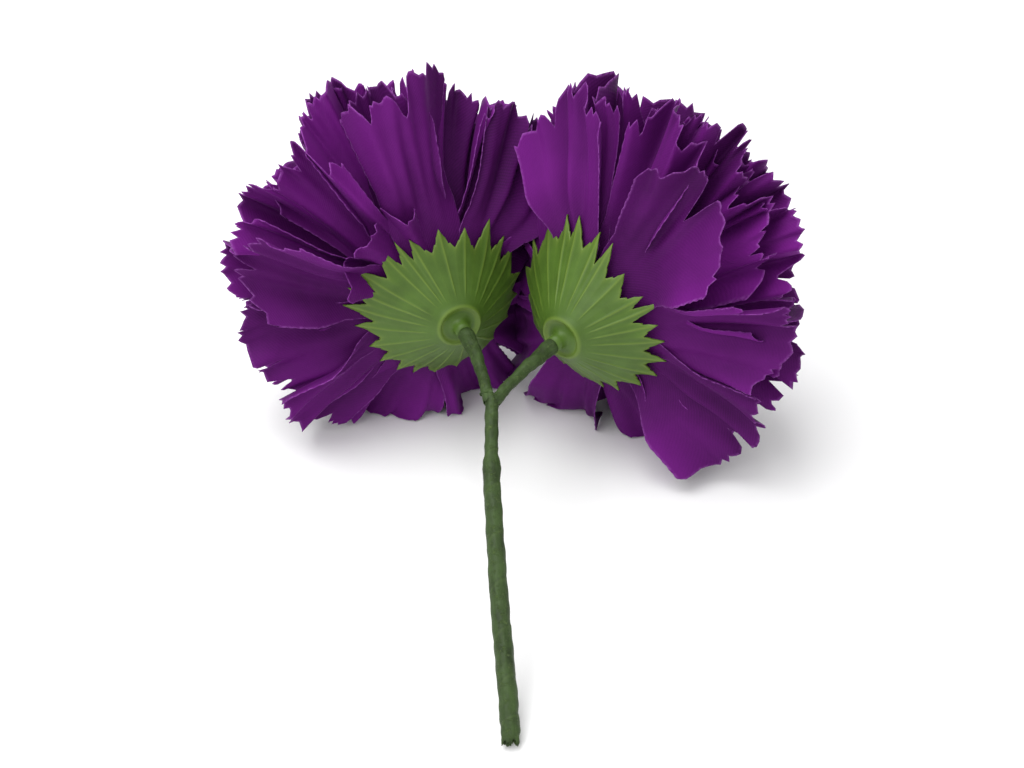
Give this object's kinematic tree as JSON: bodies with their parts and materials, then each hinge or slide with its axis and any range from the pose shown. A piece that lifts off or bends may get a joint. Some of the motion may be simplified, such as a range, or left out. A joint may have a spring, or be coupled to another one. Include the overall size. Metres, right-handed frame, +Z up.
{
  "type": "artificial carnation spray",
  "caption": "Artificial carnation spray: purple fabric heads in moulded green calyxes on a forked, taped wire stem, lying down",
  "frame": {"origin": "on the surface the spray lies on, under the middle of its whole box", "axes": "+Z up from the surface, the heads towards +Y, the stem's cut end towards -Y"},
  "size_m": [0.18, 0.2104, 0.1195],
  "materials": {
    "petals": "satin polyester, pinked edges",
    "calyx": "moulded, soft sheen",
    "tape": "waxed paper tape, wound in a spiral",
    "peg": "moulded",
    "wire": "drawn"
  },
  "bodies": {
    "root": {"left_branch_tape": "tape", "left_calyx": "calyx", "left_center_petals": "petals", "left_petal_layer_1": "petals", "left_petal_layer_2": "petals", "left_petal_layer_3": "petals", "left_petal_layer_4": "petals", "left_petal_layer_5": "petals", "left_petal_layer_6": "petals", "left_petal_layer_7": "petals", "left_petal_peg": "peg", "left_stem_wire": "wire", "main_stem_tape": "tape", "right_branch_tape": "tape", "right_calyx": "calyx", "right_center_petals": "petals", "right_petal_layer_1": "petals", "right_petal_layer_2": "petals", "right_petal_layer_3": "petals", "right_petal_layer_4": "petals", "right_petal_layer_5": "petals", "right_petal_layer_6": "petals", "right_petal_layer_7": "petals", "right_petal_peg": "peg", "right_stem_wire": "wire"}
  },
  "joints": []
}
